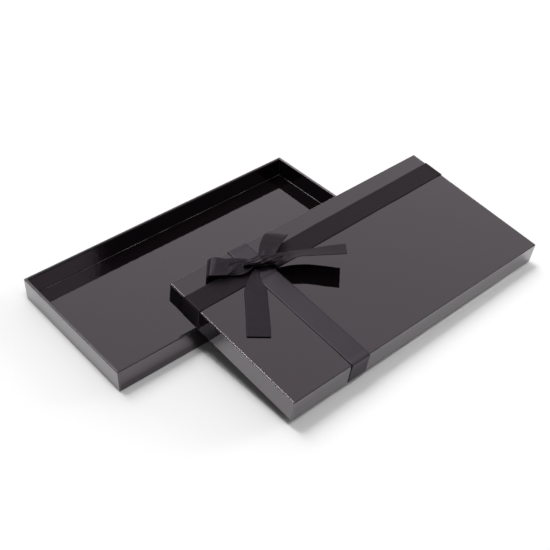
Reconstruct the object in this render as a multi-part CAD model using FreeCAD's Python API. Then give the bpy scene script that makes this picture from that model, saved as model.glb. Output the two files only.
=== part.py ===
import FreeCAD, Part
import math
import os

from FreeCAD import Matrix, Placement, Vector

# Two-piece rigid gift box with a ribbon and a tied bow. All sizes are in millimetres.
# The origin is the centre of the tray's underside. X runs along the tray, Y across it, Z up.

# Tray, measured outside over its wrapping
tray_length = 220.0
tray_width = 110.0
tray_height = 16.5

# Lid, which telescopes over the tray
lid_height = 16.5
lid_clearance = 0.5

# Boards and papers
board_thickness = 1.8
wrap_thickness = 0.2
liner_thickness = 0.3
liner_gap = 0.4
turn_in = 12.0
edge_round = 0.7
rim_round = 1.0
board_bevel = 0.5

# Corners of the board
corner_slit = 0.08
stay_thickness = 0.1
stay_reach = 12.0
stay_margin = 1.0

# Ribbon
ribbon_width = 15.0
ribbon_thickness = 0.3
ribbon_tuck = 10.0
crossing_from_end = 54.3
crossing_from_back = 21.5
long_band_skew = 0.65
crossing_ramp = 2.5
crossing_margin = 0.5

# Bow. Headings are in degrees from the lid's long side.
knot_shift = 1.4
knot_length = 11.0
knot_width = 9.4
knot_height = 7.8
knot_heading = -31.0
knot_pleats = 7
knot_pleat_depth = 0.5
knot_flats = 4
bow_clearance = 0.3
left_loop_reach = 35.0
left_loop_height = 6.4
left_loop_heading = 157.0
left_loop_skew = (56.0, 48.0)
right_loop_reach = 24.6
right_loop_height = 7.2
right_loop_heading = 26.0
right_loop_skew = (-42.0, -42.0)
strip_spacing = 1.5
strip_spans = 3

# The lid leans. Its lower front right corner stands this far out from the tray's front right corner,
# and its long side is turned by the heading.
foot_out_right = 66.0
foot_out_front = 80.0
lid_heading = 1.5
rest_gap = 0.3
solve_rounds = 12

# Sizes that follow from the ones above
wall = board_thickness + 2 * wrap_thickness
lid_length = tray_length + 2 * (lid_clearance + wall)
lid_width = tray_width + 2 * (lid_clearance + wall)
crossing_x = crossing_from_end - lid_length / 2
crossing_y = lid_width / 2 - crossing_from_back
tiny = 1e-6

os.makedirs("parts", exist_ok=True)


def centred_box(length, width, bottom, top):
    corner = Vector(-length / 2, -width / 2, bottom)
    return Part.makeBox(length, width, top - bottom, corner)


def rounded_box(length, width, bottom, top, radius):
    block = centred_box(length, width, bottom, top)
    return block.makeFillet(radius, block.Edges)


def is_upright(edge):
    return edge.BoundBox.XLength < tiny and edge.BoundBox.YLength < tiny


def upright_edges(shape):
    return [edge for edge in shape.Edges if is_upright(edge)]


# The inside lip of a rim: the level edges of the pocket at the rim's height
def round_lip(shape, length, width, level, radius):
    lip = []
    for edge in shape.Edges:
        box = edge.BoundBox
        at_level = box.ZLength < tiny and abs(box.ZMax - level) < tiny
        inside_x = max(-box.XMin, box.XMax) < length / 2 + tiny
        inside_y = max(-box.YMin, box.YMax) < width / 2 + tiny
        if at_level and inside_x and inside_y:
            lip.append(edge)
    return shape.makeFillet(radius, lip)


# An open case stands on its base, mouth up. This is its pocket.
def case_pocket(length, width, height, inset):
    return centred_box(length - 2 * inset, width - 2 * inset, inset, height + 1)


# The board's outline inside the paper. Its edges are crushed to a bevel where the paper turns over them.
def board_block(length, width, height):
    skin = wrap_thickness
    block = centred_box(length - 2 * skin, width - 2 * skin, skin, height - skin)
    return block.makeChamfer(board_bevel, block.Edges)


# Board with floor and walls, before its corners are cut
def board_envelope(length, width, height):
    inset = wrap_thickness + board_thickness
    block = board_block(length, width, height)
    shell = block.cut(case_pocket(length, width, height, inset))
    lip_length = length - 2 * inset
    lip_width = width - 2 * inset
    return round_lip(shell, lip_length, lip_width, height - wrap_thickness, rim_round - wrap_thickness)


# The four strips of tape lie in the board's outer skin, folded round its upright corners
def corner_stays(length, width, height):
    ring = board_block(length, width, height)
    inner = wrap_thickness + stay_thickness
    core = centred_box(length - 2 * inner, width - 2 * inner, -1, height + 1)
    inner_bevel = board_bevel - (2 - math.sqrt(2)) * stay_thickness
    core = core.makeChamfer(inner_bevel, upright_edges(core))
    ring = ring.cut(core)
    bottom = edge_round + stay_margin
    top = height - edge_round - stay_margin
    stays = []
    for side_x in (-1, 1):
        for side_y in (-1, 1):
            reach = centred_box(2 * stay_reach, 2 * stay_reach, bottom, top)
            reach.translate(Vector(side_x * length / 2, side_y * width / 2, 0))
            stays.append(ring.common(reach).Solids[0])
    return Part.makeCompound(stays)


# The end walls stand between the long walls, each short of them by a fine slit
def board(length, width, height):
    inset = wrap_thickness + board_thickness
    shape = board_envelope(length, width, height)
    for side_x in (-1, 1):
        for side_y in (-1, 1):
            slit = Part.makeBox(2 * board_thickness, corner_slit, height)
            slit.translate(Vector(-board_thickness, -corner_slit / 2, inset))
            slit.translate(Vector(side_x * (length / 2 - inset + board_thickness), 0, 0))
            slit.translate(Vector(0, side_y * (width / 2 - inset - corner_slit / 2), 0))
            shape = shape.cut(slit)
    return shape.cut(corner_stays(length, width, height))


# Paper round the outside, over the rim, down the inside and onto the floor's margin
def wrap(length, width, height):
    skin = rounded_box(length, width, 0, height, edge_round)
    skin = skin.cut(case_pocket(length, width, height, wall))
    skin = round_lip(skin, length - 2 * wall, width - 2 * wall, height, rim_round)
    margin = wall + turn_in
    floor_top = wrap_thickness + board_thickness
    window = centred_box(length - 2 * margin, width - 2 * margin, floor_top, height)
    return skin.cut(window).cut(board_envelope(length, width, height))


def liner(length, width):
    inset = wall + liner_gap
    return centred_box(length - 2 * inset, width - 2 * inset, wall, wall + liner_thickness)


# A flat outline in the upright plane, with each corner rounded by its own radius
def rounded_outline(corners, radii):
    count = len(corners)
    starts = []
    ends = []
    edges = []
    for i in range(count):
        corner = corners[i]
        before = (corners[i - 1] - corner).normalize()
        after = (corners[(i + 1) % count] - corner).normalize()
        half = before.getAngle(after) / 2
        cut_back = radii[i] / math.tan(half)
        starts.append(corner + before * cut_back)
        ends.append(corner + after * cut_back)
        if radii[i] > 0:
            inward = (before + after).normalize()
            middle = corner + inward * (radii[i] / math.sin(half) - radii[i])
            edges.append(Part.Arc(starts[i], middle, ends[i]).toShape())
    for i in range(count):
        edges.append(Part.LineSegment(ends[i], starts[(i + 1) % count]).toShape())
    return Part.Wire(Part.__sortEdges__(edges))


# A band of ribbon over the lid in the plane of X and Z: up inside one skirt, round its lower edge,
# over the top, and down into the other skirt. Where it rides over the other band it rises by its thickness.
def band(span, hump_at):
    thick = ribbon_thickness
    half = span / 2
    inner = half - wall
    low = -lid_height
    tuck_top = low + ribbon_tuck
    reach = ribbon_width / 2 + crossing_margin
    over = []
    if hump_at is not None:
        over = [(hump_at + reach + crossing_ramp, 0), (hump_at + reach, thick)]
        over += [(hump_at - reach, thick), (hump_at - reach - crossing_ramp, 0)]
    under_side = [(inner, tuck_top, 0), (inner, low, rim_round)]
    under_side += [(half, low, edge_round), (half, 0, edge_round)]
    under_side += [(x, z, 0) for x, z in over]
    under_side += [(-half, 0, edge_round), (-half, low, edge_round)]
    under_side += [(-inner, low, rim_round), (-inner, tuck_top, 0)]
    inner -= thick
    half += thick
    low -= thick
    outer_edge = edge_round + thick
    outer_rim = rim_round + thick
    top_side = [(inner, tuck_top, 0), (inner, low, outer_rim)]
    top_side += [(half, low, outer_edge), (half, thick, outer_edge)]
    top_side += [(x, z + thick, 0) for x, z in over]
    top_side += [(-half, thick, outer_edge), (-half, low, outer_edge)]
    top_side += [(-inner, low, outer_rim), (-inner, tuck_top, 0)]
    outline = under_side + top_side[::-1]
    corners = [Vector(x, 0, z) for x, z, radius in outline]
    radii = [radius for x, z, radius in outline]
    return Part.Face(rounded_outline(corners, radii))


def long_band():
    length = 3 * ribbon_width
    strip = band(lid_length, None).extrude(Vector(0, length, 0))
    strip.translate(Vector(0, crossing_y - length / 2, 0))
    lane = centred_box(2 * lid_length, ribbon_width, -2 * lid_height, lid_height)
    lane.rotate(Vector(0, 0, 0), Vector(0, 0, 1), long_band_skew)
    lane.translate(Vector(crossing_x, crossing_y, 0))
    return strip.common(lane)


def cross_band():
    strip = band(lid_width, crossing_y).extrude(Vector(0, ribbon_width, 0))
    strip.rotate(Vector(0, 0, 0), Vector(0, 0, 1), 90)
    strip.translate(Vector(crossing_x + ribbon_width / 2, 0, 0))
    return strip


# The outline of a strip of ribbon at one place along it: two edges and the fold between them
def strip_corners(centre, along, share, heading, tilt, fold):
    turn = math.radians(heading)
    rise = math.radians(tilt)
    across = Vector(math.cos(turn) * math.cos(rise), math.sin(turn) * math.cos(rise), math.sin(rise))
    normal = along.cross(across).normalize()
    side = across * (share * ribbon_width / 2)
    up = normal * (ribbon_thickness / 2)
    crest = centre + normal * fold
    return [centre - side - up, crest - up, centre + side - up, centre + side + up, crest + up, centre - side + up]


def smooth_curve(points, rate):
    curve = Part.BSplineCurve()
    curve.interpolate(Points=points, Parameters=rate)
    return curve


# A strip of ribbon through stations along it. Each station is a point of the middle line, the share of the
# ribbon's width that isn't gathered, the heading of the width and its tilt, and how far the width is folded
# up in its middle. The middle line is a smooth curve, and so are the six long edges, which run at the same
# rate with a ruled face between each two.
def ribbon_strip(stations):
    centres = [Vector(x, y, z) for x, y, z, share, heading, tilt, fold in stations]
    lies = [(share, heading, tilt, fold) for x, y, z, share, heading, tilt, fold in stations]
    rate = [0.0]
    for before, after in zip(centres, centres[1:]):
        rate.append(rate[-1] + before.distanceToPoint(after))
    path = smooth_curve(centres, rate)
    pieces = round(rate[-1] / (strip_spacing * strip_spans))
    count = pieces * strip_spans
    marks = [rate[-1] * i / count for i in range(count + 1)]
    tracks = [[], [], [], [], [], []]
    leg = 0
    for mark in marks:
        while leg < len(rate) - 2 and mark > rate[leg + 1]:
            leg += 1
        part = (mark - rate[leg]) / (rate[leg + 1] - rate[leg])
        lie = [start * (1 - part) + end * part for start, end in zip(lies[leg], lies[leg + 1])]
        corners = strip_corners(path.value(mark), path.getD1(mark)[1], *lie)
        for track, corner in zip(tracks, corners):
            track.append(corner)
    curves = [smooth_curve(track, marks) for track in tracks]
    faces = []
    for start in range(0, count, strip_spans):
        edges = []
        for curve in curves:
            piece = curve.copy()
            piece.segment(marks[start], marks[start + strip_spans])
            edges.append(piece.toShape())
        faces += [Part.makeRuledSurface(edges[i - 1], edges[i], 1) for i in range(len(edges))]
    for end in (0, -1):
        rim = [track[end] for track in tracks]
        faces.append(Part.Face(Part.makePolygon(rim + rim[:1])))
    shell = Part.Shell(faces)
    shell.sewShape()
    solid = Part.Solid(shell)
    if solid.Volume < 0:
        solid.reverse()
    return solid


# A loop leaves the knot, swells, turns and comes back below itself. Each step is a share of the loop's
# reach, a share of its height, a share of the ribbon's width and the depth of the pleat that is pressed
# into the loop. The width lies askew to the loop, by one angle at the knot and another at the far fold.
def bow_loop(heading, skew, reach, height, steps):
    turn = math.radians(heading)
    stations = []
    for out, up, share, pleat in steps:
        x = out * reach * math.cos(turn)
        y = out * reach * math.sin(turn)
        lie = skew[0] + (skew[1] - skew[0]) * out
        stations.append((x, y, up * height, share, lie, 0, pleat))
    return ribbon_strip(stations)


def bow_loop_left():
    steps = [(0.03, 0.72, 0.33, 0.9), (0.18, 0.86, 0.4, 1.5), (0.34, 0.97, 0.62, 1.8), (0.52, 1.0, 0.88, 0.9)]
    steps += [(0.74, 0.92, 1, 0.2), (0.9, 0.83, 1, 0), (1.0, 0.58, 1, 0), (0.99, 0.3, 1, 0)]
    steps += [(0.874, 0.13, 1, 0), (0.675, 0.08, 0.97, 0), (0.46, 0.1, 0.8, 0), (0.245, 0.2, 0.47, 0.3)]
    steps += [(0.03, 0.33, 0.33, 0.5)]
    return bow_loop(left_loop_heading, left_loop_skew, left_loop_reach, left_loop_height, steps)


def bow_loop_right():
    steps = [(0.04, 0.68, 0.5, 1.0), (0.26, 0.88, 0.73, 0.6), (0.47, 1.0, 0.92, 0.2), (0.68, 0.99, 1, 0)]
    steps += [(0.876, 0.88, 1, 0), (1.0, 0.65, 1, 0), (0.983, 0.41, 1, 0), (0.82, 0.27, 1, 0)]
    steps += [(0.6, 0.227, 0.97, 0), (0.34, 0.27, 0.73, 0.2), (0.04, 0.4, 0.5, 0.4)]
    return bow_loop(right_loop_heading, right_loop_skew, right_loop_reach, right_loop_height, steps)


# The front tail lies flat on the lid
def bow_tail_front():
    stations = [(-2.0, -1.0, 3.0, 0.33, -38, 0, 0.7), (-7.0, -4.5, 2.2, 0.47, -38, 0, 0.9)]
    stations += [(-11.0, -9.0, 1.3, 0.73, -38, 0, 0.6), (-15.5, -14.5, 0.55, 0.97, -38, 0, 0.2)]
    stations += [(-22.5, -23.5, 0.1, 1, -38, 0, 0), (-31.0, -34.0, 0, 1, -38, 0, 0)]
    stations += [(-39.5, -44.5, 0.15, 1, -37, 0, 0)]
    return ribbon_strip(stations)


# The right tail stands off the lid, its near edge higher than its far edge
def bow_tail_right():
    stations = [(1.0, -2.9, 4.6, 0.3, 74, 10, 0.6), (6.0, -5.0, 5.4, 0.43, 74, 4, 1.5)]
    stations += [(11.4, -7.3, 6.6, 0.62, 74, -13, 1.3), (18.0, -10.1, 8.3, 0.85, 70, -29, 0.4)]
    stations += [(27.5, -15.9, 9.5, 0.97, 56, -26, 0), (39.0, -23.9, 11.7, 1, 49, -21, 0)]
    stations += [(46.3, -29.3, 13.0, 1, 47, -18, 0)]
    return ribbon_strip(stations)


# The knot is the ribbon wound round the neck of the bow: a full barrel, drawn in at both ends, laid along
# the line from the left loop to the right tail. Its pleats run from end to end, each of a few flats.
def bow_knot():
    middle = (knot_height + bow_clearance) / 2
    count = knot_pleats * knot_flats
    sections = []
    for place, fullness in ((-0.5, 0.55), (-0.37, 0.86), (-0.15, 1.0), (0.15, 1.0), (0.37, 0.86), (0.5, 0.55)):
        points = []
        for i in range(count):
            angle = 2 * math.pi * i / count
            sink = knot_pleat_depth * (1 - math.cos(knot_pleats * angle)) / 2
            out = fullness * (knot_width / 2 - sink) * math.cos(angle)
            up = fullness * ((knot_height - bow_clearance) / 2 - sink) * math.sin(angle)
            points.append(Vector(place * knot_length, out, middle + up))
        sections.append(Part.makePolygon(points + points[:1]))
    barrel = Part.makeLoft(sections, True, True)
    barrel.rotate(Vector(0, 0, 0), Vector(0, 0, 1), knot_heading)
    return barrel


# From the crossing of the ribbons to its place on the lid
def set_on_lid(shape):
    placed = shape.copy()
    placed.translate(Vector(crossing_x + knot_shift, crossing_y, 2 * ribbon_thickness))
    return placed


# The lid rests on three points: its lower front right corner on the table, its left skirt on the tray's
# front rim with the ribbon between, and its back skirt on the tray's right rim.
def lid_placement():
    heading = math.radians(lid_heading)
    foot = Vector(tray_length / 2 + foot_out_right, -tray_width / 2 - foot_out_front, rest_gap)
    ez = Vector(0, 0, 1)
    for step in range(solve_rounds):
        ex = Vector(math.cos(heading), math.sin(heading), 0)
        ex = (ex - ez * ex.dot(ez)).normalize()
        ey = ez.cross(ex)
        origin = foot - ex * (lid_length / 2) + ey * (lid_width / 2) + ez * lid_height
        left_line = origin - ex * (lid_length / 2 - wall) - ez * lid_height
        back_line = origin + ey * (lid_width / 2 - wall) - ez * lid_height
        on_front_rim = left_line + ey * ((-tray_width / 2 - left_line.y) / ey.y)
        on_right_rim = back_line + ex * ((tray_length / 2 - back_line.x) / ex.x)
        on_front_rim.z = tray_height + rest_gap + ribbon_thickness
        on_right_rim.z = tray_height + rest_gap
        ez = (on_right_rim - foot).cross(on_front_rim - foot).normalize()
    print("lid normal", ez, "lid top centre", origin)
    print("rests on the front rim at", on_front_rim, "and on the right rim at", on_right_rim)
    matrix = Matrix()
    for column, axis in enumerate((ex, ey, ez, origin)):
        for row, value in enumerate((axis.x, axis.y, axis.z)):
            setattr(matrix, "A" + str(row + 1) + str(column + 1), value)
    return Placement(matrix)


# The lid is the same case turned mouth down, with its top face at zero
def mouth_down(shape):
    turned = shape.copy()
    turned.rotate(Vector(0, 0, 0), Vector(1, 0, 0), 180)
    return turned


tray_case = (tray_length, tray_width, tray_height)
tray_parts = {
    "tray_board": board(*tray_case),
    "tray_corner_stays": corner_stays(*tray_case),
    "tray_wrap": wrap(*tray_case),
    "tray_liner": liner(tray_length, tray_width),
}

knot = bow_knot()
lid_case = (lid_length, lid_width, lid_height)
lid_parts = {
    "lid_board": mouth_down(board(*lid_case)),
    "lid_corner_stays": mouth_down(corner_stays(*lid_case)),
    "lid_wrap": mouth_down(wrap(*lid_case)),
    "lid_liner": mouth_down(liner(lid_length, lid_width)),
    "ribbon_long_band": long_band(),
    "ribbon_cross_band": cross_band(),
    "bow_loop_left": set_on_lid(bow_loop_left().cut(knot)),
    "bow_loop_right": set_on_lid(bow_loop_right().cut(knot)),
    "bow_tail_front": set_on_lid(bow_tail_front().cut(knot)),
    "bow_tail_right": set_on_lid(bow_tail_right().cut(knot)),
    "bow_knot": set_on_lid(knot),
}

leaning = lid_placement()
parts = dict(tray_parts)
for name, shape in lid_parts.items():
    shape.Placement = leaning.multiply(shape.Placement)
    parts[name] = shape

for name, shape in parts.items():
    box = shape.BoundBox
    low = (round(box.XMin, 2), round(box.YMin, 2), round(box.ZMin, 2))
    high = (round(box.XMax, 2), round(box.YMax, 2), round(box.ZMax, 2))
    print(name, len(shape.Solids), "solids, valid", shape.isValid(), "volume", round(shape.Volume, 1), low, high)
    shape.exportStep("parts/" + name + ".step")
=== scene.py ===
import math

import bmesh
import bpy
import numpy as np
from mathutils import Matrix, Vector


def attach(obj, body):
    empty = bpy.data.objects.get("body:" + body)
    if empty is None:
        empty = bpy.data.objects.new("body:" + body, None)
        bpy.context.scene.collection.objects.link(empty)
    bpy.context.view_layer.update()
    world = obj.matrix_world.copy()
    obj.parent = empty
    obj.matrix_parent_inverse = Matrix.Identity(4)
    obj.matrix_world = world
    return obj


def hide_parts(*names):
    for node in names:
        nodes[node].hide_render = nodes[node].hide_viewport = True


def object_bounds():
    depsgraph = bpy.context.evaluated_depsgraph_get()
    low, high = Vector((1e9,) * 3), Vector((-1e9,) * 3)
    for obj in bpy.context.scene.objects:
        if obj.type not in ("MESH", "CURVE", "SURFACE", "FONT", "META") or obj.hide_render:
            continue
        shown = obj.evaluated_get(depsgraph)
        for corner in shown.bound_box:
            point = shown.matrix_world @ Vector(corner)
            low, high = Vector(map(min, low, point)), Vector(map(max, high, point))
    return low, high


# Two-piece gift box: an open tray, and a lid tied with satin ribbon that leans on the tray's corner
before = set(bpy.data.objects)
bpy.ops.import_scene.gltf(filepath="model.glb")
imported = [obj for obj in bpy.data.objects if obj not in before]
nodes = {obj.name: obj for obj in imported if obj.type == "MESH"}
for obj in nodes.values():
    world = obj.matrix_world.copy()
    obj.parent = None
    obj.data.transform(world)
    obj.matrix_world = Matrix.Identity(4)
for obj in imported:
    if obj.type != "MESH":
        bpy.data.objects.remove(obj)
cadLow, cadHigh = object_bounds()
mm = 0.001

# How finely the ribbon's meshes are cut
meshSteps = {
    "bowAlong": 0.6,  # mm
    "bowAcross": 21,  # points over the width
    "bandAlong": 1.2,
    "bandAcross": 17,
    "roundSteps": 8,  # points round each folded edge
    "knotAlong": 0.25,
    "knotRound": 72,
}


def toLinear(hexColour):
    parts = [int(hexColour[i : i + 2], 16) / 255 for i in (1, 3, 5)]
    return [c / 12.92 if c <= 0.04045 else ((c + 0.055) / 1.055) ** 2.4 for c in parts] + [1.0]


# Settings go to sockets or properties by name or number; a link comes from a socket or a node's first output
def addNode(tree, kind, settings=None, links=None):
    node = tree.nodes.new("ShaderNode" + kind)
    for name, value in (settings or {}).items():
        if isinstance(name, int) or name in node.inputs:
            node.inputs[name].default_value = value
        else:
            setattr(node, name, value)
    for name, source in (links or {}).items():
        tree.links.new(getattr(source, "outputs", [source])[0], node.inputs[name])
    return node


def newMaterial(name):
    material = bpy.data.materials.new(name)
    material.use_nodes = True
    material.node_tree.nodes.clear()
    return material, material.node_tree


cameraSettings = {
    "place": (-310.56, -429.76, 455.43),  # mm
    "looksAt": (31.25, -32.72, 0.0),
    "roll": 0.634,  # degrees
    "lens": 66.57,
    "sensor": 36.0,
}


def placeCamera():
    data = bpy.data.cameras.new("camera")
    data.lens = cameraSettings["lens"]
    data.sensor_width = cameraSettings["sensor"]
    camera = bpy.data.objects.new("camera", data)
    bpy.context.scene.collection.objects.link(camera)
    place = Vector(cameraSettings["place"]) * mm
    aim = Vector(cameraSettings["looksAt"]) * mm - place
    roll = Matrix.Rotation(math.radians(cameraSettings["roll"]), 4, "Z")
    turned = aim.to_track_quat("-Z", "Y").to_matrix().to_4x4() @ roll
    camera.matrix_world = Matrix.Translation(place) @ turned
    bpy.context.scene.camera = camera


studio = {
    "floorSize": 40.0,  # metres
    "floorBelow": 0.05,  # mm under the tray
    "floorColour": "#FAFAFA",
    "roomLevel": 0.108,
    "panelLevel": 0.70,
    "panelTowards": (0.62, 0.48, 0.62),
    "panelEdge": 0.62,  # cosine of the angle from the panel's middle at which it fades out
    "lamps": {
        "key": {"towards": (-0.02, 0.27, 0.96), "angle": 9.0, "strength": 0.40},
        "backFill": {"towards": (0.05, 0.58, 0.81), "angle": 24.0, "strength": 0.60},
        "topFill": {"towards": (-0.10, 0.36, 0.93), "angle": 16.0, "strength": 0.70},
        "frontFill": {"towards": (0.06, -0.33, 0.94), "angle": 16.0, "strength": 0.84},
        "rightFill": {"towards": (0.90, -0.32, 0.30), "angle": 22.0, "strength": 0.95},
        "glint": {"towards": (0.305, -0.71, 0.635), "angle": 7.0, "strength": 0.020},
    },
}


def softSun(name, settings):
    data = bpy.data.lights.new(name, "SUN")
    data.angle = math.radians(settings["angle"])
    data.energy = settings["strength"]
    lamp = bpy.data.objects.new(name, data)
    bpy.context.scene.collection.objects.link(lamp)
    lamp.rotation_euler = Vector(settings["towards"]).to_track_quat("Z", "Y").to_euler()


# A dim room with one broad pale panel high at the back
def buildRoom():
    world = bpy.data.worlds.new("room")
    bpy.context.scene.world = world
    world.use_nodes = True
    tree = world.node_tree
    tree.nodes.clear()
    way = addNode(tree, "TexCoord").outputs["Generated"]
    towards = Vector(studio["panelTowards"]).normalized()
    facing = addNode(tree, "VectorMath", {"operation": "DOT_PRODUCT", 1: towards}, {0: way})
    fade = {
        "interpolation_type": "SMOOTHSTEP",
        "From Min": studio["panelEdge"],
        "To Max": studio["panelLevel"],
    }
    panel = addNode(tree, "MapRange", fade, {"Value": facing.outputs["Value"]})
    level = addNode(tree, "Math", {"operation": "ADD", 1: studio["roomLevel"]}, {0: panel})
    room = addNode(tree, "Background", {"Color": (1, 1, 1, 1)}, {"Strength": level})
    addNode(tree, "OutputWorld", {}, {"Surface": room})


# Matt painted board: a pale, even floor that only takes the object's shadow
def buildStudio():
    buildRoom()
    for name, lamp in studio["lamps"].items():
        softSun(name, lamp)
    half = studio["floorSize"] / 2
    mesh = bpy.data.meshes.new("floor")
    corners = [(-half, -half, 0), (half, -half, 0), (half, half, 0), (-half, half, 0)]
    mesh.from_pydata(corners, [], [(0, 1, 2, 3)])
    floor = bpy.data.objects.new("floor", mesh)
    floor.location.z = cadLow.z - studio["floorBelow"] * mm
    bpy.context.scene.collection.objects.link(floor)
    material, tree = newMaterial("paleFloor")
    matt = addNode(tree, "BsdfDiffuse", {"Color": toLinear(studio["floorColour"])})
    addNode(tree, "OutputMaterial", {}, {"Surface": matt})
    mesh.materials.append(material)
    bpy.context.scene.view_settings.view_transform = "Standard"


# Lengths in mm. The outside film is rubbed by handling, the lining's isn't
wrap = {
    "black": "#0A0709",
    "ink": 1.55,  # IOR of the print and of the film over it
    "plum": "#FFDAF8",  # the print's own shine leans to plum
    "roughness": 0.05,
    "filmRoughness": 0.03,
    "waviness": 9.0,  # from crest to crest, where the film follows the board
    "waveDepth": 0.012,
    "peel": 2.4,
    "peelDepth": 0.007,
    "creaseRound": 0.9,  # the film's shine rounds off before the board's own edge does
    "smudges": 26.0,
    "smudgeFrom": 0.5,  # noise level at which a smudge begins, and at which it is full
    "smudgeFull": 0.8,
    "smudgeRoughness": 0.05,
    "scratchWidth": 0.5,  # drawn about five times coarser than real hairlines, which a pixel can't hold
    "scratchLength": 14.0,
    "scratchDepth": 0.0005,
    "scratchTurns": (0.5, 1.9, 2.7),  # radians
    "scratchFrom": 0.72,
    "scratchFull": 0.76,
    "edgeReach": 0.9,
    "edgeFlat": 0.99,  # cosine of the turn beside an edge where wear begins, and where it is full
    "edgeSharp": 0.86,
    "edgeWear": 0.30,
    "wornPatch": 3.5,
    "wornFrom": 0.48,
    "wornFull": 0.66,
    "wornRoughness": 0.3,
    "worn": "#5A5557",
}

lining = dict(wrap, waviness=14.0, waveDepth=0.03, peel=1.6, peelDepth=0.010, creaseRound=0.2, edgeWear=0.0)


# Printed art paper under a gloss film: near black, the room mirrored a little wavily in the film, with
# hairline scratches, dull smudges from handling and the ink rubbed grey along the folded edges
def glossBlackPaper(name, paper):
    material, tree = newMaterial(name)
    place = addNode(tree, "TexCoord").outputs["Object"]
    normal = addNode(tree, "Bevel", {"samples": 6, "Radius": paper["creaseRound"] * mm})
    for kind, depth, detail in (("waviness", "waveDepth", 2.0), ("peel", "peelDepth", 1.5)):
        size = {"Scale": 1000 / paper[kind], "Detail": detail}
        swell = addNode(tree, "TexNoise", size, {"Vector": place})
        normal = addNode(tree, "Bump", {"Distance": paper[depth] * mm}, {"Height": swell, "Normal": normal})
    fine = 1000 / paper["scratchWidth"]
    stretch = (1000 / paper["scratchLength"], fine, fine)
    hollow = {"From Min": paper["scratchFrom"], "From Max": paper["scratchFull"], "To Min": 1, "To Max": 0}
    for turn in paper["scratchTurns"]:
        turned = addNode(tree, "Mapping", {"Rotation": (0, 0, turn), "Scale": stretch}, {"Vector": place})
        hairs = addNode(tree, "TexNoise", {"Scale": 1.0, "Detail": 0.0}, {"Vector": turned})
        lines = addNode(tree, "MapRange", hollow, {"Value": hairs})
        scratch = {"Distance": paper["scratchDepth"] * mm}
        normal = addNode(tree, "Bump", scratch, {"Height": lines, "Normal": normal})
    size = {"Scale": 1000 / paper["smudges"], "Detail": 5.0}
    touched = addNode(tree, "TexNoise", size, {"Vector": place})
    dulled = {
        "From Min": paper["smudgeFrom"],
        "From Max": paper["smudgeFull"],
        "To Min": paper["roughness"],
        "To Max": paper["roughness"] + paper["smudgeRoughness"],
    }
    rough = addNode(tree, "MapRange", dulled, {"Value": touched})
    film = {
        "Base Color": toLinear(paper["black"]),
        "IOR": paper["ink"],
        "Specular Tint": toLinear(paper["plum"]),
        "Coat Weight": 1.0,
        "Coat Roughness": paper["filmRoughness"],
        "Coat IOR": paper["ink"],
    }
    shader = addNode(tree, "BsdfPrincipled", film, {"Normal": normal, "Coat Normal": normal})
    if paper["edgeWear"]:
        bevel = addNode(tree, "Bevel", {"samples": 4, "Radius": paper["edgeReach"] * mm})
        flat = addNode(tree, "NewGeometry").outputs["Normal"]
        same = addNode(tree, "VectorMath", {"operation": "DOT_PRODUCT"}, {0: bevel, 1: flat})
        sharp = {"From Min": paper["edgeFlat"], "From Max": paper["edgeSharp"]}
        edge = addNode(tree, "MapRange", sharp, {"Value": same.outputs["Value"]})
        size = {"Scale": 1000 / paper["wornPatch"], "Detail": 4.0}
        patches = addNode(tree, "TexNoise", size, {"Vector": place})
        rubbing = {"From Min": paper["wornFrom"], "From Max": paper["wornFull"], "To Max": paper["edgeWear"]}
        rubbed = addNode(tree, "MapRange", rubbing, {"Value": patches})
        worn = addNode(tree, "Math", {"operation": "MULTIPLY"}, {0: edge, 1: rubbed})
        inks = {"data_type": "RGBA", 6: toLinear(paper["black"]), 7: toLinear(paper["worn"])}
        shown = addNode(tree, "Mix", inks, {0: worn}).outputs[2]
        tree.links.new(shown, shader.inputs["Base Color"])
        dulling = {"operation": "MULTIPLY_ADD", 1: paper["wornRoughness"]}
        rough = addNode(tree, "Math", dulling, {0: worn, 2: rough})
    tree.links.new(rough.outputs[0], shader.inputs["Roughness"])
    addNode(tree, "OutputMaterial", {}, {"Surface": shader})
    return material


cutEdge = {
    "pulp": "#CFCBC4",
    "ink": "#2A2628",
    "patches": 22.0,  # mm, how far the pale line runs before the ink takes over again
    "inked": 0.42,  # noise level below which the ink covers it, and at which the pulp is bare
    "bare": 0.56,
    "roughness": 0.7,
    "fibre": 0.4,
    "fibreDepth": 0.02,
    "side": 0.5,  # how far a face leans, as a cosine: less is the sheet's cut side, more than floor is flat
    "floor": 0.9,
    "near": 0.05,  # mm from the lining's underside
}


# Cut paper: where it is cut its pale pulp shows matt, inked over here and there
def cutPaperEdge():
    material, tree = newMaterial("cutPaperEdge")
    place = addNode(tree, "TexCoord").outputs["Object"]
    size = {"Scale": 1000 / cutEdge["patches"], "Detail": 3.0}
    patches = addNode(tree, "TexNoise", size, {"Vector": place})
    reach = {"From Min": cutEdge["inked"], "From Max": cutEdge["bare"]}
    bare = addNode(tree, "MapRange", reach, {"Value": patches})
    colours = {"data_type": "RGBA", 6: toLinear(cutEdge["ink"]), 7: toLinear(cutEdge["pulp"])}
    shown = addNode(tree, "Mix", colours, {0: bare}).outputs[2]
    fibres = addNode(tree, "TexNoise", {"Scale": 1000 / cutEdge["fibre"], "Detail": 3.0}, {"Vector": place})
    normal = addNode(tree, "Bump", {"Distance": cutEdge["fibreDepth"] * mm}, {"Height": fibres})
    links = {"Base Color": shown, "Normal": normal}
    shader = addNode(tree, "BsdfPrincipled", {"Roughness": cutEdge["roughness"]}, links)
    addNode(tree, "OutputMaterial", {}, {"Surface": shader})
    return material


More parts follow.
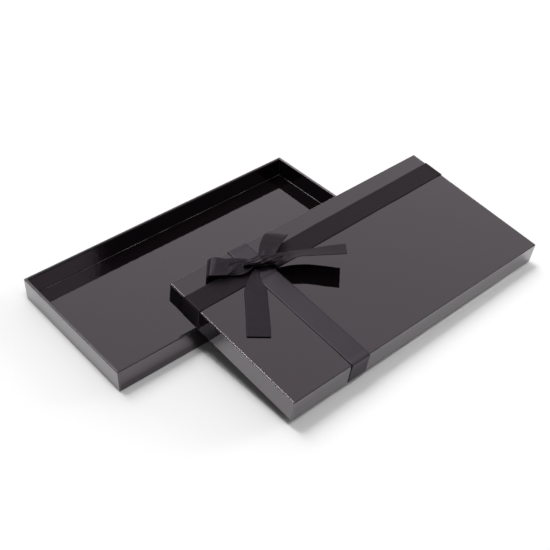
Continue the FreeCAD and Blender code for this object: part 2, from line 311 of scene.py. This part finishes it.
greyboard = {
    "pulp": "#8F8C86",
    "fleck": "#5F5C58",
    "light": "#B5B1A8",
    "clump": 3.0,  # mm
    "cloudFrom": 0.35,  # noise levels between which the pulp turns from its own tone to the light one
    "cloudFull": 0.7,
    "fibre": 0.35,
    "fleckFrom": 0.60,
    "fleckFull": 0.68,
    "fibreDepth": 0.03,
    "roughness": 0.9,
}

stayTape = dict(greyboard, pulp="#A9875A", fleck="#7A5E3B", light="#A9875A", clump=5.0, fibre=0.5)
stayTape.update(fibreDepth=0.012, roughness=0.62)


# Unprinted pulp, pressed into grey board or brown gummed tape: matt, clouded and flecked with fibres
def rawPulp(name, pulp):
    material, tree = newMaterial(name)
    place = addNode(tree, "TexCoord").outputs["Object"]
    clouds = addNode(tree, "TexNoise", {"Scale": 1000 / pulp["clump"], "Detail": 6.0}, {"Vector": place})
    clouding = {"From Min": pulp["cloudFrom"], "From Max": pulp["cloudFull"]}
    clumps = addNode(tree, "MapRange", clouding, {"Value": clouds})
    colours = {"data_type": "RGBA", 6: toLinear(pulp["pulp"]), 7: toLinear(pulp["light"])}
    clouded = addNode(tree, "Mix", colours, {0: clumps}).outputs[2]
    fibres = addNode(tree, "TexNoise", {"Scale": 1000 / pulp["fibre"], "Detail": 4.0}, {"Vector": place})
    flecking = {"From Min": pulp["fleckFrom"], "From Max": pulp["fleckFull"]}
    flecks = addNode(tree, "MapRange", flecking, {"Value": fibres})
    dark = {"data_type": "RGBA", 7: toLinear(pulp["fleck"])}
    flecked = addNode(tree, "Mix", dark, {0: flecks, 6: clouded}).outputs[2]
    normal = addNode(tree, "Bump", {"Distance": pulp["fibreDepth"] * mm}, {"Height": fibres})
    links = {"Base Color": flecked, "Normal": normal}
    shader = addNode(tree, "BsdfPrincipled", {"Roughness": pulp["roughness"]}, links)
    addNode(tree, "OutputMaterial", {}, {"Surface": shader})
    return material


satin = {
    "width": 15.0,  # mm
    "thickness": 0.3,
    "black": "#181417",
    "thread": "#2A262B",
    "threadTone": 0.5,
    "toneFrom": 0.35,  # noise levels between which a thread turns to its lighter tone
    "toneFull": 0.75,
    "plum": "#FFE8FC",
    "shine": 0.20,
    "crossBandLitBlack": "#1C1A20",
    "crossBandLitShine": 0.44,  # painted light: the cross band's lit copy of the same satin, its black lighter and bluer and its shine raised
    "roughness": 0.40,
    "alongThreads": 0.75,
    "threadPitch": 0.3,  # about three times coarser than real, so that it still shows up close
    "threadRun": 4.0,
    "threadDepth": 0.006,
    "weftPitch": 0.45,
    "weftDepth": 0.0009,
    "selvage": 0.7,  # the firm woven edge, a little thicker than the cloth
    "selvageFade": 0.56,
    "selvageRise": 0.4,
    "selvageRib": 0.6,
    "pleatWidth": 0.17,  # share of the ribbon's width
    # Painted shade: the near-black that ambient occlusion blends into the satin's folds and hollows
    "paintedFoldShade": "#0C0A0C",
    "foldReach": 5.0,
    "foldDark": 0.30,  # share of open sky at which a fold is quite dark, and at which it is lit in full
    "foldOpen": 0.72,
}


# Woven satin: long warp floats give it a streak of shine, the weft shows as faint ribs, the selvage is
# corded,
# and the folds get painted shade: where ambient occlusion finds little open sky the satin blends to near
# black
def satinRibbonMaterial(name, black, shine):
    material, tree = newMaterial(name)
    threads = addNode(tree, "Tangent", {"direction_type": "UV_MAP", "uv_map": "cloth"})
    cloth = addNode(tree, "UVMap", {"uv_map": "cloth"})
    parts = addNode(tree, "SeparateXYZ", {}, {"Vector": cloth}).outputs
    stretch = (1000 / satin["threadRun"], 1000 / satin["threadPitch"], 1.0)
    drawn = addNode(tree, "Mapping", {"Scale": stretch}, {"Vector": cloth})
    floats = addNode(tree, "TexNoise", {"Scale": 1.0, "Detail": 1.0}, {"Vector": drawn})
    ribs = {}
    for pitch in ("weftPitch", "selvageRib"):
        turns = {"operation": "MULTIPLY", 1: 2 * math.pi * 1000 / satin[pitch]}
        angle = addNode(tree, "Math", turns, {0: parts["X"]})
        ribs[pitch] = addNode(tree, "Math", {"operation": "SINE"}, {0: angle})
    halfWidth = {"operation": "PINGPONG", 1: satin["width"] / 2 * mm}
    fromEdge = addNode(tree, "Math", halfWidth, {0: parts["Y"]})
    firm = {"From Min": satin["selvage"] * mm, "From Max": satin["selvageFade"] * mm}
    onSelvage = addNode(tree, "MapRange", firm, {"Value": fromEdge})
    cords = addNode(tree, "Math", {"operation": "MULTIPLY"}, {0: ribs["selvageRib"], 1: onSelvage})
    deep = satin["threadDepth"] * mm
    normal = addNode(tree, "Bump", {"Distance": deep}, {"Height": floats})
    weft = {"Height": ribs["weftPitch"], "Normal": normal}
    normal = addNode(tree, "Bump", {"Distance": satin["weftDepth"] * mm}, weft)
    normal = addNode(tree, "Bump", {"Distance": deep}, {"Height": cords, "Normal": normal})
    tones = {"From Min": satin["toneFrom"], "From Max": satin["toneFull"], "To Max": satin["threadTone"]}
    mixed = addNode(tree, "MapRange", tones, {"Value": floats})
    colours = {"data_type": "RGBA", 6: toLinear(black), 7: toLinear(satin["thread"])}
    shown = addNode(tree, "Mix", colours, {0: mixed}).outputs[2]
    finish = {
        "Specular IOR Level": shine,
        "Roughness": satin["roughness"],
        "Specular Tint": toLinear(satin["plum"]),
        "Anisotropic": satin["alongThreads"],
        "Anisotropic Rotation": 0.25,  # a quarter turn, so that the streak lies across the floats
        "IOR": 1.5,
    }
    links = {"Base Color": shown, "Normal": normal, "Tangent": threads}
    shader = addNode(tree, "BsdfPrincipled", finish, links)
    # Painted shade: the less open sky a point sees, the more it turns to a near-black matt shader
    around = {"samples": 12, "Distance": satin["foldReach"] * mm}
    openness = addNode(tree, "AmbientOcclusion", around).outputs["AO"]
    lighting = {"From Min": satin["foldDark"], "From Max": satin["foldOpen"]}
    lit = addNode(tree, "MapRange", lighting, {"Value": openness})
    shade = addNode(tree, "BsdfDiffuse", {"Color": toLinear(satin["paintedFoldShade"])})
    both = addNode(tree, "MixShader", {}, {0: lit, 1: shade, 2: shader})
    addNode(tree, "OutputMaterial", {}, {"Surface": both})
    return material


# The lid's own axes, read off its liner sheet: x along, y to the back, z out of the top face
def lidPlacement():
    sheet = np.array([v.co for v in nodes["lid_liner"].data.vertices])
    skin = np.array([v.co for v in nodes["lid_wrap"].data.vertices])
    middle = sheet.mean(0)
    axes = np.linalg.eigh(np.cov((sheet - middle).T))[1]
    up = axes[:, 0] * np.sign(axes[2, 0])
    along = axes[:, 2] * np.sign(axes[0, 2])
    back = np.cross(up, along)
    top = middle + up * ((skin - middle) @ up).max()
    half = np.abs((skin - top) @ np.column_stack((along, back, up))).max(0)
    turned = Matrix([list(row) for row in np.column_stack((along, back, up))]).to_4x4()
    return Matrix.Translation(Vector(top)) @ turned, half / mm


placeCamera()
buildStudio()
print("studio ready")

paleEdge = cutPaperEdge()
ribbonCloth = satinRibbonMaterial("satinRibbon", satin["black"], satin["shine"])
# Painted light: the cross band is dressed in a lit copy of the same satin, lighter and shinier than the rest
# of the ribbon
crossBandLitCloth = satinRibbonMaterial("satinRibbonLitCopy", satin["crossBandLitBlack"], satin["crossBandLitShine"])
papers = {
    "board": rawPulp("greyboardPulp", greyboard),
    "corner_stays": rawPulp("gummedTape", stayTape),
    "wrap": glossBlackPaper("glossBlackWrap", wrap),
    "liner": glossBlackPaper("glossBlackLining", lining),
}
for half in ("tray", "lid"):
    for part, paper in papers.items():
        slots = nodes[half + "_" + part].data.materials
        slots.clear()
        slots.append(paper)
lid, lidHalf = lidPlacement()


# Pale where the lining is cut, and in the gap round it, where the turned-in paper is scuffed
def paleEdges(half, inward):
    sheet = np.array([v.co for v in nodes[half + "_liner"].data.vertices]) @ np.array(inward)
    for nodeName, pale in ((half + "_liner", "side"), (half + "_wrap", "floor")):
        mesh = nodes[nodeName].data
        mesh.materials.append(paleEdge)
        for face in mesh.polygons:
            lean = face.normal.dot(inward)
            low = abs(face.center.dot(inward) - sheet.min()) < cutEdge["near"] * mm
            cutSide = pale == "side" and abs(lean) < cutEdge["side"]
            if cutSide or (pale == "floor" and lean > cutEdge["floor"] and low):
                face.material_index = 1


paleEdges("tray", Vector((0, 0, 1)))
paleEdges("lid", -(lid.to_3x3() @ Vector((0, 0, 1))))
print("papers dressed")


# A curve through a few rows of numbers, evenly marked: every column is interpolated alike
def smoothThrough(rows, spacing):
    rows = np.array(rows, float)
    steps = np.linalg.norm(np.diff(rows[:, :3], axis=0), axis=1)
    at = np.concatenate(([0], np.cumsum(steps)))
    slopes = np.gradient(rows, at, axis=0)
    marks = np.linspace(0, at[-1], int(at[-1] / spacing) + 2)
    leg = np.clip(np.searchsorted(at, marks, side="right") - 1, 0, len(steps) - 1)
    long = steps[leg][:, None]
    part = ((marks - at[leg]) / steps[leg])[:, None]
    value = (2 * part**3 - 3 * part**2 + 1) * rows[leg] + (3 * part**2 - 2 * part**3) * rows[leg + 1]
    value += long * ((part**3 - 2 * part**2 + part) * slopes[leg] + (part**3 - part**2) * slopes[leg + 1])
    return value


def addCloth(piece, node, cloth):
    bpy.context.scene.collection.objects.link(piece)
    piece.data.materials.append(cloth)
    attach(piece, "lid")
    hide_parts(node)


# A strip of cloth from its middle surface: rows of points across it, in the lid's own axes and mm
def layStrip(name, node, surface, cloth):
    rows, across = surface.shape[:2]
    downLine = np.gradient(surface, axis=0)
    overLine = np.gradient(surface, axis=1)
    normal = np.cross(downLine, overLine)
    normal /= np.linalg.norm(normal, axis=2, keepdims=True)
    overLine /= np.linalg.norm(overLine, axis=2, keepdims=True)
    steps = np.linalg.norm(np.diff(surface.mean(1), axis=0), axis=1)
    lengthways = np.concatenate(([0], np.cumsum(steps)))
    widthways = np.linspace(0, 1, across)
    fromEdge = np.minimum(widthways, widthways[::-1]) * satin["width"]
    half = satin["thickness"] / 2
    thick = half * (1 + satin["selvageRise"] * np.exp(-((fromEdge / satin["selvage"]) ** 2)))[None, :, None]
    upper, lower = surface + normal * thick, (surface - normal * thick)[:, ::-1]
    near, far = surface[:, :1] - overLine[:, :1] * half, surface[:, -1:] + overLine[:, -1:] * half
    ring = np.concatenate((upper, far, lower, near), axis=1)
    count = ring.shape[1]
    edgeways = np.concatenate((widthways, [1], widthways[::-1], [0])) * satin["width"]
    points = [lid @ Vector(point * mm) for point in ring.reshape(-1, 3)]
    faces = []
    for i in range(rows - 1):
        for j in range(count):
            k = (j + 1) % count
            faces.append((i * count + j, i * count + k, (i + 1) * count + k, (i + 1) * count + j))
    for start in (0, (rows - 1) * count):
        way = -1 if start == 0 else 1
        for j in range(across - 1):
            quad = [start + j, start + j + 1, start + 2 * across - 1 - j, start + 2 * across - j]
            faces.append(quad[::way])
        faces.append([start, start + 2 * across, start + 2 * across + 1][::way])
        faces.append([start + across - 1, start + across, start + across + 1][::way])
    mesh = bpy.data.meshes.new(name)
    mesh.from_pydata(points, [], faces)
    layer = mesh.uv_layers.new(name="cloth")
    for loop in mesh.loops:
        row, place = divmod(loop.vertex_index, count)
        layer.data[loop.index].uv = (lengthways[row] * mm, edgeways[place] * mm)
    mesh.validate()
    shaded = bmesh.new()
    shaded.from_mesh(mesh)
    bmesh.ops.recalc_face_normals(shaded, faces=shaded.faces)
    shaded.to_mesh(mesh)
    shaded.free()
    mesh.shade_smooth()
    addCloth(bpy.data.objects.new(name, mesh), node, cloth)


# Each row: the far or left edge, the near or right edge, the crown, and the pleat's depth and place across
bow = {
    "leftLoop": [
        (-59.6, 37.6, 4.6, -60.6, 35.8, 4.2, 0.1, 0.3, 0.5),
        (-63.2, 39.0, 5.4, -64.4, 37.2, 5.4, 0.2, 0.6, 0.4),
        (-66.4, 41.6, 6.0, -68.2, 39.2, 6.2, 0.3, 0.8, 0.35),
        (-69.2, 43.6, 6.4, -72.4, 40.0, 6.5, 0.3, 0.9, 0.35),
        (-72.1, 45.8, 6.5, -76.9, 39.8, 6.0, 0.3, 0.9, 0.4),
        (-74.8, 48.4, 6.5, -81.8, 39.2, 5.0, 0.4, 0.5, 0.5),
        (-77.1, 52.0, 6.3, -85.7, 41.4, 4.9, 0.4, 0.2, 0.6),
        (-80.0, 55.0, 5.9, -89.6, 43.7, 4.9, 0.2, 0.0, 0.5),
        (-82.4, 56.3, 5.0, -92.0, 45.7, 4.3, 0.1, 0.0, 0.5),
        (-83.2, 57.4, 3.2, -93.2, 46.2, 2.8, 0.0, 0.0, 0.5),
        (-80.8, 58.0, 1.4, -91.2, 46.6, 1.3, 0.0, 0.0, 0.5),
        (-76.8, 56.4, 0.9, -85.6, 44.4, 0.9, 0.0, 0.0, 0.5),
        (-71.4, 53.6, 0.9, -79.6, 40.4, 1.3, 0.1, 0.0, 0.5),
        (-66.6, 51.0, 0.8, -76.0, 37.6, 2.2, 0.4, 0.0, 0.5),
        (-63.4, 48.4, 0.8, -72.6, 35.4, 3.0, 1.3, 0.0, 0.5),
        (-60.4, 45.6, 1.0, -68.4, 34.9, 3.6, 1.3, 0.0, 0.5),
        (-58.2, 42.6, 1.6, -64.2, 35.6, 4.2, 0.9, 0.0, 0.5),
    ],
    "rightLoop": [
        (-57.0, 39.4, 5.0, -47.8, 34.8, 5.0, 0.2, 0.8, 0.4),
        (-54.0, 42.2, 6.4, -44.4, 36.0, 6.2, 0.5, 0.6, 0.4),
        (-49.6, 46.0, 7.4, -40.8, 38.0, 7.0, 0.7, 0.3, 0.45),
        (-43.6, 50.0, 7.6, -34.8, 40.4, 7.2, 0.6, 0.0, 0.5),
        (-39.2, 52.4, 6.8, -29.8, 42.8, 6.6, 0.3, 0.0, 0.5),
        (-36.8, 53.6, 5.2, -26.4, 44.4, 5.0, 0.0, 0.0, 0.5),
        (-38.8, 53.2, 3.4, -29.4, 43.8, 3.2, 0.0, 0.0, 0.5),
        (-43.4, 50.8, 2.4, -35.6, 41.4, 2.2, 0.0, 0.0, 0.5),
        (-48.2, 47.2, 2.1, -41.8, 38.4, 1.9, 0.0, 0.0, 0.5),
        (-52.8, 42.6, 2.4, -46.6, 36.2, 2.2, 0.0, 0.3, 0.5),
        (-56.0, 38.8, 3.2, -48.6, 34.2, 3.0, 0.0, 0.5, 0.5),
    ],
    "frontTail": [
        (-62.0, 36.0, 1.4, -59.8, 33.8, 1.4, 0.2, 0.2, 0.5),
        (-65.2, 34.6, 1.3, -62.0, 31.2, 1.3, 0.2, 0.2, 0.5),
        (-70.9, 31.6, 1.1, -65.2, 25.8, 1.1, 0.2, 0.1, 0.55),
        (-77.6, 26.9, 0.9, -67.0, 18.8, 0.9, 0.3, 0.1, 0.6),
        (-85.2, 17.6, 0.7, -73.7, 9.4, 0.6, 0.15, 0.0, 0.6),
        (-92.3, 8.7, 0.55, -80.5, 0.3, 0.5, 0.1, 0.0, 0.5),
        (-98.6, 0.8, 0.55, -86.9, -8.0, 0.5, 0.05, 0.0, 0.5),
        (-102.4, -4.1, 0.65, -90.9, -12.8, 0.6, 0.0, 0.0, 0.5),
    ],
    "rightTail": [
        (-57.0, 37.8, 6.2, -56.0, 34.0, 4.6, 0.3, 0.2, 0.5),
        (-52.6, 36.8, 6.8, -52.6, 31.0, 4.2, 0.5, -0.6, 0.45),
        (-47.8, 35.4, 7.0, -50.6, 26.2, 6.0, 0.4, -0.8, 0.4),
        (-42.6, 33.0, 6.9, -48.2, 23.0, 9.6, 0.3, -0.6, 0.4),
        (-36.2, 30.4, 6.6, -41.9, 20.9, 12.2, 0.2, -0.3, 0.5),
        (-25.9, 25.1, 7.1, -33.1, 15.6, 13.0, 0.2, 0.1, 0.5),
        (-13.4, 17.2, 9.7, -22.2, 7.0, 14.8, 0.2, 0.0, 0.5),
        (-6.0, 11.9, 11.3, -15.4, 1.9, 15.8, 0.0, 0.0, 0.5),
    ],
}


# Rows of points between two edges, with a crown and one pleat pressed into the width
def betweenEdges(stations):
    table = smoothThrough(stations, meshSteps["bowAlong"])
    first, last = table[:, None, 0:3], table[:, None, 3:6]
    crown, pleat, place = table[:, None, 6:7], table[:, None, 7:8], table[:, None, 8:9]
    share = np.linspace(0, 1, meshSteps["bowAcross"])[None, :, None]
    flat = first * (1 - share) + last * share
    forward = np.gradient(flat.mean(1), axis=0)[:, None]
    up = np.cross(forward, last - first)
    up /= np.linalg.norm(up, axis=2, keepdims=True)
    fold = np.exp(-(((share - place) / satin["pleatWidth"]) ** 2))
    return flat + up * (crown * 4 * share * (1 - share) - pleat * fold)


for name, node, held in (
    ("leftLoop", "bow_loop_left", "folded"),
    ("rightLoop", "bow_loop_right", "folded"),
    ("frontTail", "bow_tail_front", "laid"),
    ("rightTail", "bow_tail_right", "folded"),
):
    layStrip(name, node, betweenEdges(bow[name]), ribbonCloth)

# The knot, as rings along its length: the middle of each, half its width and height, its turn in degrees
knot = {
    "core": [
        (-66.4, 41.6, 2.0, 0.8, 1.0, 0.0),
        (-63.6, 40.2, 2.3, 2.3, 1.8, 0.0),
        (-58.4, 37.6, 2.4, 2.6, 2.2, 0.0),
        (-53.6, 35.2, 2.5, 2.8, 2.4, 0.0),
        (-49.0, 32.8, 2.5, 2.2, 2.2, 0.0),
        (-46.8, 31.6, 2.4, 1.0, 1.6, 0.0),
    ],
    "bundle": [
        (-64.6, 40.2, 5.2, 0.7, 0.6, 0.0),
        (-62.8, 39.5, 5.3, 1.9, 1.2, 20.0),
        (-60.0, 38.2, 5.3, 3.3, 1.8, 60.0),
        (-56.6, 36.9, 5.7, 4.2, 2.3, 105.0),
        (-53.2, 35.4, 5.8, 3.5, 2.0, 150.0),
        (-50.4, 33.7, 5.9, 3.7, 2.1, 190.0),
        (-47.4, 32.0, 6.1, 3.1, 1.8, 235.0),
        (-44.4, 30.5, 6.4, 2.2, 1.3, 275.0),
        (-41.8, 29.3, 6.7, 0.7, 0.6, 300.0),
    ],
    "heading": -31.0,  # degrees
    "folds": 7,  # round the bundle
    "foldDepth": 0.26,  # share of its thickness
    "foldCrease": 0.7,  # the lower, the narrower the valleys
    "cloth": (32.0, 24.0),  # mm of ribbon round it and along it
}


# The ribbon's own width gathered and twisted, so that the folds run slanting round a flat bundle;
# the core is the part of it that goes down under the bundle, round the bands
def tieKnot():
    turn = math.radians(knot["heading"])
    side = np.array([-math.sin(turn), math.cos(turn), 0])
    up = np.array([0, 0, 1.0])
    count = meshSteps["knotRound"]
    angles = np.linspace(0, 2 * math.pi, count + 1)[:-1]
    points, faces, clothAt = [], [], []
    for part in ("core", "bundle"):
        rings = smoothThrough(knot[part], meshSteps["knotAlong"])
        start = len(points)
        for row, (x, y, z, halfWide, halfHigh, twist) in enumerate(rings):
            pull = knot["folds"] * (angles + math.radians(twist) / 2)
            crease = 1 - np.abs(np.sin(pull / 2)) ** knot["foldCrease"]
            reach = 1 - knot["foldDepth"] * crease
            out = side * (np.cos(angles) * halfWide * reach)[:, None]
            out = out + up * (np.sin(angles) * halfHigh * reach)[:, None]
            points += list(np.array((x, y, z)) + out)
            clothAt += [(row / len(rings), angle / (2 * math.pi) + twist / 360) for angle in angles]
        last = start + (len(rings) - 1) * count
        for i in range(start, last, count):
            for j in range(count):
                k = (j + 1) % count
                faces.append((i + j, i + k, i + count + k, i + count + j))
        faces.append(tuple(range(start, start + count))[::-1])
        faces.append(tuple(range(last, last + count)))
    mesh = bpy.data.meshes.new("knot")
    mesh.from_pydata([lid @ Vector(p * mm) for p in points], [], faces)
    layer = mesh.uv_layers.new(name="cloth")
    for loop in mesh.loops:
        along, about = clothAt[loop.vertex_index]
        layer.data[loop.index].uv = (along * knot["cloth"][1] * mm, about * knot["cloth"][0] * mm)
    mesh.shade_smooth()
    addCloth(bpy.data.objects.new("knot", mesh), "bow_knot", ribbonCloth)


tieKnot()
print("bow tied")

# Lengths in mm, in the lid's own axes
bands = {
    "wall": 2.2,
    "edgeRound": 0.75,
    "rimRound": 1.05,
    "gap": 0.03,
    "tuck": 10.0,
    "crossing": (-58.4, 36.2),
    "skew": 0.65,  # degrees, the long band isn't quite square to the lid
    "hump": 0.34,  # where the cross band climbs over the long one
    "humpFrom": 7.6,
    "humpSlope": 2.6,
    "springOff": 0.3,  # where the satin stands off a folded edge
    "springReach": 3.0,
    "slack": 0.07,
    "slackRuns": (7.3, 17.0),
    "slackFade": 6.0,
    "wander": ((0.10, 23.0, 1), (0.06, 8.0, 3)),  # how far aside, over what run, and its share of the seed
    "longSeed": 0.7,
    "crossSeed": 2.1,
}


# A flat route through corners, each rounded by its own radius
def roundedRoute(corners, radii):
    corners = [np.array(corner, float) for corner in corners]
    route = [corners[0]]
    for before, corner, after, radius in zip(corners, corners[1:], corners[2:], radii):
        inward = [(side - corner) / np.linalg.norm(side - corner) for side in (before, after)]
        opening = math.acos(float(np.clip(inward[0] @ inward[1], -1, 1)))
        cut = radius / math.tan(opening / 2)
        middle = inward[0] + inward[1]
        centre = corner + middle / np.linalg.norm(middle) * radius / math.sin(opening / 2)
        first, last = corner + inward[0] * cut - centre, corner + inward[1] * cut - centre
        route.append(centre + first)
        for part in np.linspace(0, 1, meshSteps["roundSteps"])[1:-1]:
            spoke = first * (1 - part) + last * part
            route.append(centre + spoke / np.linalg.norm(spoke) * radius)
        route.append(centre + last)
    route.append(corners[-1])
    dense = [route[0]]
    for before, after in zip(route, route[1:]):
        count = max(1, round(float(np.linalg.norm(after - before)) / meshSteps["bandAlong"]))
        dense += [before + (after - before) * (i + 1) / count for i in range(count)]
    return np.array(dense)


# One ribbon's line round the lid: from under the rim, up the skirt, over the top and down again
def bandLine(half, depth, crossedAt, climbs, seed):
    off = satin["thickness"] / 2 + bands["gap"]
    inner = half - bands["wall"]
    rimLow, tuckTop = -depth - off, -depth + bands["tuck"]
    oneSide = [(inner - off, tuckTop), (inner - off, rimLow), (half + off, rimLow), (half + off, off)]
    corners = [(-x, z) for x, z in oneSide] + oneSide[::-1]
    rimIn, rim, edge = bands["rimRound"] - off, bands["rimRound"] + off, bands["edgeRound"] + off
    route = roundedRoute(corners, [rimIn, rim, edge, edge, rim, rimIn])
    forward = np.gradient(route, axis=0)
    forward /= np.linalg.norm(forward, axis=1, keepdims=True)
    outward = np.column_stack((-forward[:, 1], forward[:, 0]))
    run, rise = route[:, 0], route[:, 1]
    onTop = np.clip(rise + 1, 0, 1) * np.clip((half - np.abs(run)) / bands["slackFade"], 0, 1)
    overEdge, overRise = (np.abs(run) - half) / bands["springReach"], rise / bands["springReach"]
    lift = bands["springOff"] * np.exp(-(overEdge**2) - overRise**2)
    near, far = bands["slackRuns"]
    lift += bands["slack"] * onTop * (1 + np.sin(run / near + seed) * np.sin(run / far + 2 * seed))
    if climbs:
        away = np.clip((np.abs(run - crossedAt) - bands["humpFrom"]) / bands["humpSlope"], 0, 1)
        lift += bands["hump"] * (1 - away * away * (3 - 2 * away)) * (rise > 0)
    return route + outward * lift[:, None], run


def layBand(name, node, lengthways, skew, seed, cloth):
    halfLength, halfWidth, depth = (float(size) for size in lidHalf)
    crossedAt, centre = bands["crossing"] if lengthways else bands["crossing"][::-1]
    route, run = bandLine(halfLength if lengthways else halfWidth, depth, crossedAt, not lengthways, seed)
    share = np.linspace(-0.5, 0.5, meshSteps["bandAcross"])
    wander = sum(aside * np.sin(run / over + times * seed) for aside, over, times in bands["wander"])
    sideways = centre + wander[:, None] + share[None, :] * satin["width"]
    sideways = sideways + (run - crossedAt)[:, None] * math.tan(math.radians(skew))
    along = np.broadcast_to(route[:, :1], sideways.shape)
    height = np.broadcast_to(route[:, 1:], sideways.shape)
    order = (along, sideways, height) if lengthways else (sideways, along, height)
    layStrip(name, node, np.stack(order, axis=2), cloth)


layBand("longBand", "ribbon_long_band", True, bands["skew"], bands["longSeed"], ribbonCloth)
layBand("crossBand", "ribbon_cross_band", False, 0.0, bands["crossSeed"], crossBandLitCloth)
print("bands laid")
